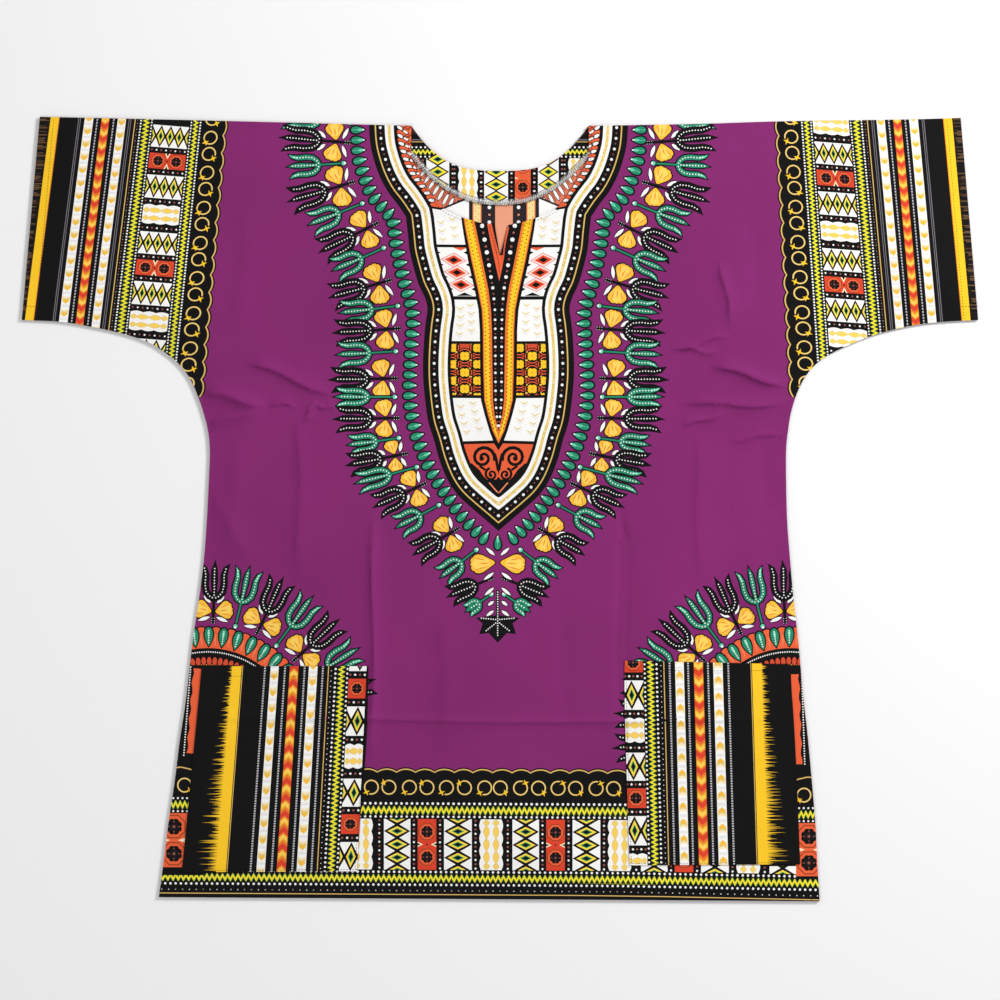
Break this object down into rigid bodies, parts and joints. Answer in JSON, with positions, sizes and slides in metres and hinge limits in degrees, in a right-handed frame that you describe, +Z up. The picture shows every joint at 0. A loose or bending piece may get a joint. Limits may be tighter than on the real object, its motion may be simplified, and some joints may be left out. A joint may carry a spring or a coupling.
{
  "type": "dashiki shirt",
  "caption": "Loose pullover shirt of printed cotton with kimono sleeves, a notched round neck and two patch pockets, lying flat and face up.",
  "frame": {"origin": "centre of the shirt's box in plan, on the surface that it lies on", "axes": "+X to the right of the shirt seen from above, from cuff to cuff; +Y from the hem to the neck; +Z up, out of the front"},
  "size_m": [0.956, 0.784, 0.0075],
  "materials": {
    "printed_cotton": "smooth plain-weave cotton, magenta-purple ground with a printed yoke and borders, faint sheen",
    "printed_cotton_back": "the same printed cotton, its paler wrong side showing inside the neck",
    "border_print": "the border stripes of the same printed cotton, turned upright on the pockets",
    "facing_print": "the cell border of the same printed cotton, with an overlocked lower edge"
  },
  "bodies": {
    "root": {"front_panel": "printed_cotton", "back_panel": "printed_cotton_back", "back_neck_facing": "facing_print", "pocket_left": "border_print", "pocket_right": "border_print"}
  },
  "joints": []
}
